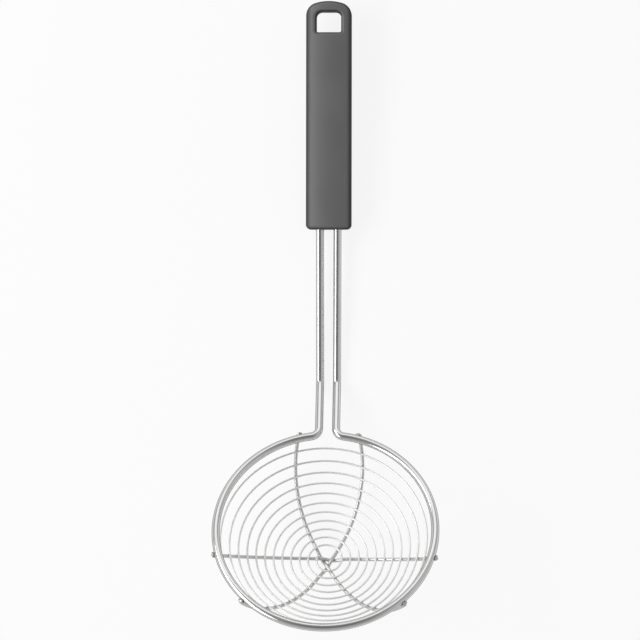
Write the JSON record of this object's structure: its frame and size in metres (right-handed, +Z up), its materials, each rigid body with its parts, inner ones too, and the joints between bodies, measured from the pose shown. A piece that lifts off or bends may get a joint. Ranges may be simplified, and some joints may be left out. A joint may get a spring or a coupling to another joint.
{
  "type": "spider skimmer",
  "caption": "Long-handled kitchen skimmer: a wire rim and twin-wire neck with a shallow basket of a spiral wire on crossed ribs, and a soft-touch handle with a hang hole.",
  "frame": {"origin": "centre of the bottom of the box around the part as it lies on a table, on the bend of its neck and on the lower edge of the handle's end, basket opening upwards", "axes": "+Z up; +Y from the basket towards the handle's far end, along the part's length; +X to the right when seen from above with the handle pointing away"},
  "size_m": [0.1296, 0.3658, 0.0793],
  "materials": {
    "frame_steel": "polished stainless steel wire",
    "rib_steel": "polished stainless steel wire",
    "spiral_steel": "polished stainless steel wire",
    "core_plastic": "plain moulded",
    "skin_rubber": "soft touch, satin"
  },
  "bodies": {
    "root": {"frame_wire": "frame_steel", "basket_rib_1": "rib_steel", "basket_rib_2": "rib_steel", "basket_rib_3": "rib_steel", "basket_spiral": "spiral_steel", "handle_core": "core_plastic", "handle_skin": "skin_rubber"}
  },
  "joints": []
}
